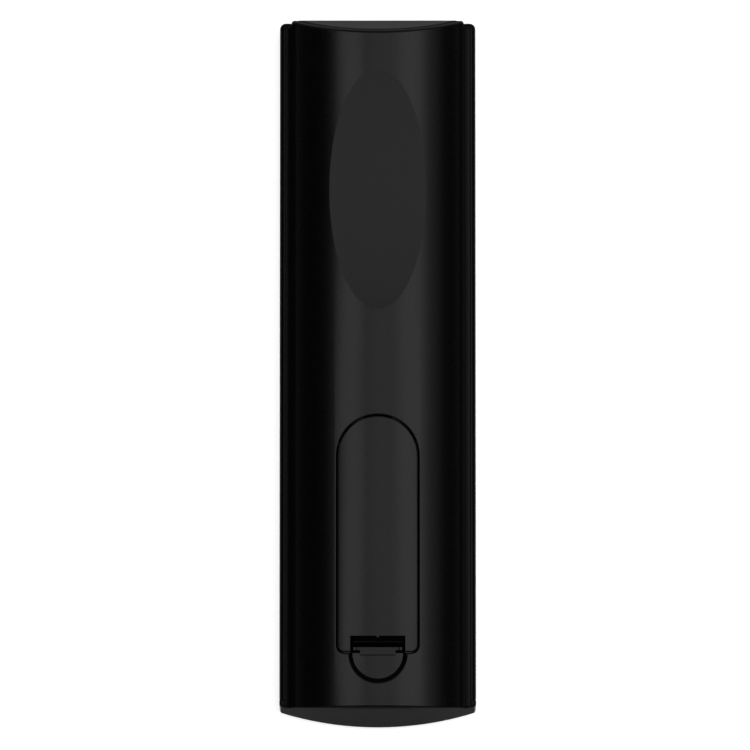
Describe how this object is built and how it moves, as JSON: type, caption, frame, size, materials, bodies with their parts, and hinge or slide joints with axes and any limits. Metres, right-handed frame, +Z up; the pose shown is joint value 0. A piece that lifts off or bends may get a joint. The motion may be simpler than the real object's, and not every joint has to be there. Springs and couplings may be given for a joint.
{
  "type": "remote control",
  "caption": "Slim handheld remote control with a barrel-shaped back, oval finger recess, latched battery door, sprung keys, rockers and a smoked window at the head.",
  "frame": {"origin": "centre of the bounding box's lowest face: the remote lies face down on it", "axes": "+X across the remote, to the user's left when the keys face the user; +Y towards the head end with the infrared window; +Z up through the back"},
  "size_m": [0.0532, 0.192, 0.0206],
  "materials": {
    "black_shell": "fine moulded texture",
    "board": "lacquered",
    "can_sleeve": "sleeved",
    "cell_jacket": "printed foil, left plain",
    "chip_black": "matt",
    "face_plate": "satin",
    "key_blue": "satin",
    "key_cap": "satin",
    "key_green": "satin",
    "key_red": "satin",
    "key_yellow": "satin",
    "led_clear": "clear",
    "led_white": "gloss",
    "lens_clear": "clear",
    "mat_rubber": "matt",
    "nickel": "nickel plated",
    "steel": "plated",
    "window_smoke": "smoked, clear to infrared"
  },
  "bodies": {
    "root": {"battery_cell_left": "cell_jacket", "battery_cell_right": "cell_jacket", "board_screws": "steel", "capacitor": "can_sleeve", "chip_parts": "chip_black", "circuit_board": "board", "contact_foot_bridge": "nickel", "contact_head_negative": "nickel", "contact_head_positive": "nickel", "crystal": "steel", "faceplate": "face_plate", "front_cover": "black_shell", "indicator_led": "led_white", "indicator_lens": "lens_clear", "ir_led": "led_clear", "ir_window": "window_smoke", "keypad_mat": "mat_rubber", "microcontroller": "chip_black", "rear_cover": "black_shell"},
    "battery_door": {"battery_door": "black_shell"},
    "door_latch": {"door_latch": "black_shell"},
    "key_back": {"key_back": "key_cap"},
    "key_blue": {"key_blue": "key_blue"},
    "key_channel": {"key_channel": "key_cap"},
    "key_digit_0": {"key_digit_0": "key_cap"},
    "key_digit_1": {"key_digit_1": "key_cap"},
    "key_digit_2": {"key_digit_2": "key_cap"},
    "key_digit_3": {"key_digit_3": "key_cap"},
    "key_digit_4": {"key_digit_4": "key_cap"},
    "key_digit_5": {"key_digit_5": "key_cap"},
    "key_digit_6": {"key_digit_6": "key_cap"},
    "key_digit_7": {"key_digit_7": "key_cap"},
    "key_digit_8": {"key_digit_8": "key_cap"},
    "key_digit_9": {"key_digit_9": "key_cap"},
    "key_down": {"key_down": "key_cap"},
    "key_forward": {"key_forward": "key_cap"},
    "key_green": {"key_green": "key_green"},
    "key_guide": {"key_guide": "key_cap"},
    "key_hash": {"key_hash": "key_cap"},
    "key_home": {"key_home": "key_cap"},
    "key_info": {"key_info": "key_cap"},
    "key_left": {"key_left": "key_cap"},
    "key_menu": {"key_menu": "key_cap"},
    "key_mute": {"key_mute": "key_cap"},
    "key_ok": {"key_ok": "key_cap"},
    "key_play": {"key_play": "key_cap"},
    "key_power": {"key_power": "key_cap"},
    "key_record": {"key_record": "key_cap"},
    "key_red": {"key_red": "key_red"},
    "key_rewind": {"key_rewind": "key_cap"},
    "key_right": {"key_right": "key_cap"},
    "key_skip": {"key_skip": "key_cap"},
    "key_source": {"key_source": "key_cap"},
    "key_star": {"key_star": "key_cap"},
    "key_stop": {"key_stop": "key_cap"},
    "key_up": {"key_up": "key_cap"},
    "key_volume": {"key_volume": "key_cap"},
    "key_yellow": {"key_yellow": "key_yellow"}
  },
  "joints": [
    {"name": "door_open", "type": "hinge", "parent": "root", "child": "battery_door", "pos_m": [0, -0.0116, 0.0206], "axis": [-1, 0, 0], "range_deg": [0, 55]},
    {"name": "latch_flex", "type": "hinge", "parent": "battery_door", "child": "door_latch", "pos_m": [0, -0.07245, 0.01185], "axis": [-1, 0, 0], "range_deg": [0, 8], "stiffness_Nm_per_rad": 0.06, "springref_deg": -2.86},
    {"name": "key_back_press", "type": "slide", "parent": "root", "child": "key_back", "axis": [0, 0, 1], "range_m": [0, 0.0008], "stiffness_N_per_m": 1200, "springref_m": -0.0003, "deforming": ["keypad_mat"]},
    {"name": "key_blue_press", "type": "slide", "parent": "root", "child": "key_blue", "axis": [0, 0, 1], "range_m": [0, 0.0008], "stiffness_N_per_m": 1200, "springref_m": -0.0003, "deforming": ["keypad_mat"]},
    {"name": "key_channel_tilt", "type": "hinge", "parent": "root", "child": "key_channel", "pos_m": [-0.0155, 0.003, 0.0033], "axis": [1, 0, 0], "range_deg": [-3, 3], "stiffness_Nm_per_rad": 0.4, "deforming": ["keypad_mat"]},
    {"name": "key_digit_0_press", "type": "slide", "parent": "root", "child": "key_digit_0", "axis": [0, 0, 1], "range_m": [0, 0.0008], "stiffness_N_per_m": 1200, "springref_m": -0.0003, "deforming": ["keypad_mat"]},
    {"name": "key_digit_1_press", "type": "slide", "parent": "root", "child": "key_digit_1", "axis": [0, 0, 1], "range_m": [0, 0.0008], "stiffness_N_per_m": 1200, "springref_m": -0.0003, "deforming": ["keypad_mat"]},
    {"name": "key_digit_2_press", "type": "slide", "parent": "root", "child": "key_digit_2", "axis": [0, 0, 1], "range_m": [0, 0.0008], "stiffness_N_per_m": 1200, "springref_m": -0.0003, "deforming": ["keypad_mat"]},
    {"name": "key_digit_3_press", "type": "slide", "parent": "root", "child": "key_digit_3", "axis": [0, 0, 1], "range_m": [0, 0.0008], "stiffness_N_per_m": 1200, "springref_m": -0.0003, "deforming": ["keypad_mat"]},
    {"name": "key_digit_4_press", "type": "slide", "parent": "root", "child": "key_digit_4", "axis": [0, 0, 1], "range_m": [0, 0.0008], "stiffness_N_per_m": 1200, "springref_m": -0.0003, "deforming": ["keypad_mat"]},
    {"name": "key_digit_5_press", "type": "slide", "parent": "root", "child": "key_digit_5", "axis": [0, 0, 1], "range_m": [0, 0.0008], "stiffness_N_per_m": 1200, "springref_m": -0.0003, "deforming": ["keypad_mat"]},
    {"name": "key_digit_6_press", "type": "slide", "parent": "root", "child": "key_digit_6", "axis": [0, 0, 1], "range_m": [0, 0.0008], "stiffness_N_per_m": 1200, "springref_m": -0.0003, "deforming": ["keypad_mat"]},
    {"name": "key_digit_7_press", "type": "slide", "parent": "root", "child": "key_digit_7", "axis": [0, 0, 1], "range_m": [0, 0.0008], "stiffness_N_per_m": 1200, "springref_m": -0.0003, "deforming": ["keypad_mat"]},
    {"name": "key_digit_8_press", "type": "slide", "parent": "root", "child": "key_digit_8", "axis": [0, 0, 1], "range_m": [0, 0.0008], "stiffness_N_per_m": 1200, "springref_m": -0.0003, "deforming": ["keypad_mat"]},
    {"name": "key_digit_9_press", "type": "slide", "parent": "root", "child": "key_digit_9", "axis": [0, 0, 1], "range_m": [0, 0.0008], "stiffness_N_per_m": 1200, "springref_m": -0.0003, "deforming": ["keypad_mat"]},
    {"name": "key_down_press", "type": "slide", "parent": "root", "child": "key_down", "axis": [0, 0, 1], "range_m": [0, 0.0008], "stiffness_N_per_m": 1200, "springref_m": -0.0003, "deforming": ["keypad_mat"]},
    {"name": "key_forward_press", "type": "slide", "parent": "root", "child": "key_forward", "axis": [0, 0, 1], "range_m": [0, 0.0008], "stiffness_N_per_m": 1200, "springref_m": -0.0003, "deforming": ["keypad_mat"]},
    {"name": "key_green_press", "type": "slide", "parent": "root", "child": "key_green", "axis": [0, 0, 1], "range_m": [0, 0.0008], "stiffness_N_per_m": 1200, "springref_m": -0.0003, "deforming": ["keypad_mat"]},
    {"name": "key_guide_press", "type": "slide", "parent": "root", "child": "key_guide", "axis": [0, 0, 1], "range_m": [0, 0.0008], "stiffness_N_per_m": 1200, "springref_m": -0.0003, "deforming": ["keypad_mat"]},
    {"name": "key_hash_press", "type": "slide", "parent": "root", "child": "key_hash", "axis": [0, 0, 1], "range_m": [0, 0.0008], "stiffness_N_per_m": 1200, "springref_m": -0.0003, "deforming": ["keypad_mat"]},
    {"name": "key_home_press", "type": "slide", "parent": "root", "child": "key_home", "axis": [0, 0, 1], "range_m": [0, 0.0008], "stiffness_N_per_m": 1200, "springref_m": -0.0003, "deforming": ["keypad_mat"]},
    {"name": "key_info_press", "type": "slide", "parent": "root", "child": "key_info", "axis": [0, 0, 1], "range_m": [0, 0.0008], "stiffness_N_per_m": 1200, "springref_m": -0.0003, "deforming": ["keypad_mat"]},
    {"name": "key_left_press", "type": "slide", "parent": "root", "child": "key_left", "axis": [0, 0, 1], "range_m": [0, 0.0008], "stiffness_N_per_m": 1200, "springref_m": -0.0003, "deforming": ["keypad_mat"]},
    {"name": "key_menu_press", "type": "slide", "parent": "root", "child": "key_menu", "axis": [0, 0, 1], "range_m": [0, 0.0008], "stiffness_N_per_m": 1200, "springref_m": -0.0003, "deforming": ["keypad_mat"]},
    {"name": "key_mute_press", "type": "slide", "parent": "root", "child": "key_mute", "axis": [0, 0, 1], "range_m": [0, 0.0008], "stiffness_N_per_m": 1200, "springref_m": -0.0003, "deforming": ["keypad_mat"]},
    {"name": "key_ok_press", "type": "slide", "parent": "root", "child": "key_ok", "axis": [0, 0, 1], "range_m": [0, 0.0008], "stiffness_N_per_m": 1200, "springref_m": -0.0003, "deforming": ["keypad_mat"]},
    {"name": "key_play_press", "type": "slide", "parent": "root", "child": "key_play", "axis": [0, 0, 1], "range_m": [0, 0.0008], "stiffness_N_per_m": 1200, "springref_m": -0.0003, "deforming": ["keypad_mat"]},
    {"name": "key_power_press", "type": "slide", "parent": "root", "child": "key_power", "axis": [0, 0, 1], "range_m": [0, 0.0008], "stiffness_N_per_m": 1200, "springref_m": -0.0003, "deforming": ["keypad_mat"]},
    {"name": "key_record_press", "type": "slide", "parent": "root", "child": "key_record", "axis": [0, 0, 1], "range_m": [0, 0.0008], "stiffness_N_per_m": 1200, "springref_m": -0.0003, "deforming": ["keypad_mat"]},
    {"name": "key_red_press", "type": "slide", "parent": "root", "child": "key_red", "axis": [0, 0, 1], "range_m": [0, 0.0008], "stiffness_N_per_m": 1200, "springref_m": -0.0003, "deforming": ["keypad_mat"]},
    {"name": "key_rewind_press", "type": "slide", "parent": "root", "child": "key_rewind", "axis": [0, 0, 1], "range_m": [0, 0.0008], "stiffness_N_per_m": 1200, "springref_m": -0.0003, "deforming": ["keypad_mat"]},
    {"name": "key_right_press", "type": "slide", "parent": "root", "child": "key_right", "axis": [0, 0, 1], "range_m": [0, 0.0008], "stiffness_N_per_m": 1200, "springref_m": -0.0003, "deforming": ["keypad_mat"]},
    {"name": "key_skip_press", "type": "slide", "parent": "root", "child": "key_skip", "axis": [0, 0, 1], "range_m": [0, 0.0008], "stiffness_N_per_m": 1200, "springref_m": -0.0003, "deforming": ["keypad_mat"]},
    {"name": "key_source_press", "type": "slide", "parent": "root", "child": "key_source", "axis": [0, 0, 1], "range_m": [0, 0.0008], "stiffness_N_per_m": 1200, "springref_m": -0.0003, "deforming": ["keypad_mat"]},
    {"name": "key_star_press", "type": "slide", "parent": "root", "child": "key_star", "axis": [0, 0, 1], "range_m": [0, 0.0008], "stiffness_N_per_m": 1200, "springref_m": -0.0003, "deforming": ["keypad_mat"]},
    {"name": "key_stop_press", "type": "slide", "parent": "root", "child": "key_stop", "axis": [0, 0, 1], "range_m": [0, 0.0008], "stiffness_N_per_m": 1200, "springref_m": -0.0003, "deforming": ["keypad_mat"]},
    {"name": "key_up_press", "type": "slide", "parent": "root", "child": "key_up", "axis": [0, 0, 1], "range_m": [0, 0.0008], "stiffness_N_per_m": 1200, "springref_m": -0.0003, "deforming": ["keypad_mat"]},
    {"name": "key_volume_tilt", "type": "hinge", "parent": "root", "child": "key_volume", "pos_m": [0.0155, 0.003, 0.0033], "axis": [1, 0, 0], "range_deg": [-3, 3], "stiffness_Nm_per_rad": 0.4, "deforming": ["keypad_mat"]},
    {"name": "key_yellow_press", "type": "slide", "parent": "root", "child": "key_yellow", "axis": [0, 0, 1], "range_m": [0, 0.0008], "stiffness_N_per_m": 1200, "springref_m": -0.0003, "deforming": ["keypad_mat"]}
  ]
}
